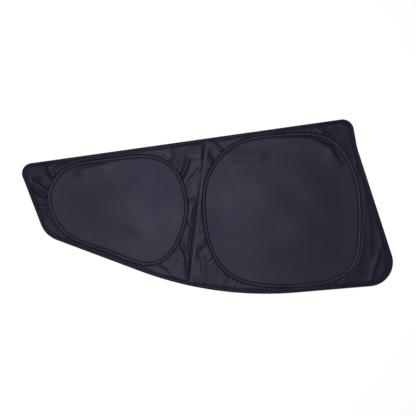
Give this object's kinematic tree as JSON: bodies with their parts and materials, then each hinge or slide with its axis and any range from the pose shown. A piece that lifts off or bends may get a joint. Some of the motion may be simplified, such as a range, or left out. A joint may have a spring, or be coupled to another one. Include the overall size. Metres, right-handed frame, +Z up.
{
  "type": "car side window sunshade",
  "caption": "Flat folding fabric sunshade for a car side window, with spring wire hoops sewn into channels and a bound edge.",
  "frame": {"origin": "centre of the outline, on the surface the shade lies on", "axes": "+X to the wide end, +Y to the straight long edge, +Z up, away from the glass"},
  "size_m": [0.9084, 0.4271, 0.0067],
  "materials": {
    "shade_fabric": "coated plain weave",
    "casing_fabric": "plain weave",
    "binding_tape": "woven tape",
    "spring_steel": "drawn wire",
    "ferrule_steel": "crimped tube"
  },
  "bodies": {
    "root": {"fabric_panel_left": "shade_fabric", "fabric_panel_right": "shade_fabric", "hoop_wire_left": "spring_steel", "hoop_wire_right": "spring_steel", "wire_ferrule_left": "ferrule_steel", "wire_ferrule_right": "ferrule_steel", "casing_strip_left": "casing_fabric", "casing_strip_right": "casing_fabric", "edge_binding": "binding_tape"}
  },
  "joints": []
}
